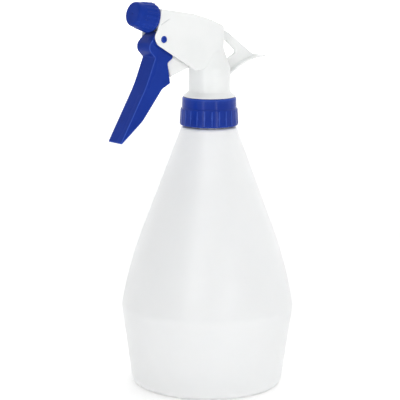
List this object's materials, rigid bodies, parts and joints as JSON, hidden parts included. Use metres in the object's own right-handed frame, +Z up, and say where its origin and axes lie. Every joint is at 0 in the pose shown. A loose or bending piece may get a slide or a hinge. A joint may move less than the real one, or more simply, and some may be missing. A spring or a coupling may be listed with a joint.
{
  "type": "trigger spray bottle",
  "caption": "Hand spray bottle: conical translucent bottle on a tapered base, ribbed screw collar, hooded trigger pump with a tail, adjustable nozzle and dip tube.",
  "frame": {"origin": "on the bottle's axis, at the plane that it stands on", "axes": "+Z up along the bottle's axis; the nozzle points along -X; the plane y = 0 divides the head into equal halves"},
  "size_m": [0.1189, 0.1016, 0.2286],
  "materials": {
    "bottle": "satin translucent",
    "blue_plastic": "satin gloss",
    "white_plastic": "satin gloss",
    "seal": "soft matte",
    "steel": "drawn wire",
    "clear_tube": "natural translucent"
  },
  "bodies": {
    "bottle": {"bottle": "bottle"},
    "head": {"neck_gasket": "seal", "shroud": "white_plastic", "pump_body": "white_plastic", "swirl_core": "white_plastic", "outlet_spring": "steel", "return_spring": "steel", "valve_cage": "white_plastic", "dip_tube": "clear_tube", "strainer": "white_plastic"},
    "collar": {"collar": "blue_plastic"},
    "trigger": {"trigger": "blue_plastic"},
    "piston": {"piston": "white_plastic", "piston_cup_seal": "seal", "piston_vent_seal": "seal"},
    "nozzle_slider": {"nozzle_seal": "seal"},
    "nozzle": {"nozzle_cap": "blue_plastic"},
    "inlet_ball": {"inlet_ball": "steel"},
    "outlet_valve": {"outlet_valve": "seal"}
  },
  "joints": [
    {"name": "head_lift", "type": "slide", "parent": "bottle", "child": "head", "axis": [0, 0, 1], "range_m": [0, 0.175]},
    {"name": "collar_turn", "type": "hinge", "parent": "head", "child": "collar", "pos_m": [0, 0, 0.163], "axis": [0, 0, 1], "continuous": true},
    {"name": "trigger_pull", "type": "hinge", "parent": "head", "child": "trigger", "pos_m": [-0.0386, 0, 0.2072], "axis": [0, -1, 0], "range_deg": [0, 22], "stiffness_Nm_per_rad": 0.3, "springref_deg": -28.65},
    {"name": "piston_stroke", "type": "slide", "parent": "head", "child": "piston", "axis": [0.9397, 0, 0.342], "range_m": [0, 0.0067], "deforming": ["return_spring"]},
    {"name": "nozzle_advance", "type": "slide", "parent": "head", "child": "nozzle_slider", "axis": [-0.9724, 0, 0.2334], "range_m": [0, 0.003]},
    {"name": "nozzle_turn", "type": "hinge", "parent": "nozzle_slider", "child": "nozzle", "pos_m": [-0.0422, 0, 0.2188], "axis": [-0.9724, 0, 0.2334], "range_deg": [0, 540]},
    {"name": "inlet_ball_lift", "type": "slide", "parent": "head", "child": "inlet_ball", "axis": [0, 0, 1], "range_m": [0, 0.0012]},
    {"name": "outlet_valve_open", "type": "slide", "parent": "head", "child": "outlet_valve", "axis": [-0.9724, 0, 0.2334], "range_m": [0, 0.0008], "stiffness_N_per_m": 60, "springref_m": -0.003, "deforming": ["outlet_spring"]}
  ],
  "couplings": [
    {"joint": "piston_stroke", "follows": "trigger_pull", "m_per_rad": 0.01735},
    {"joint": "nozzle_turn", "follows": "nozzle_advance", "rad_per_m": 3141.6}
  ]
}
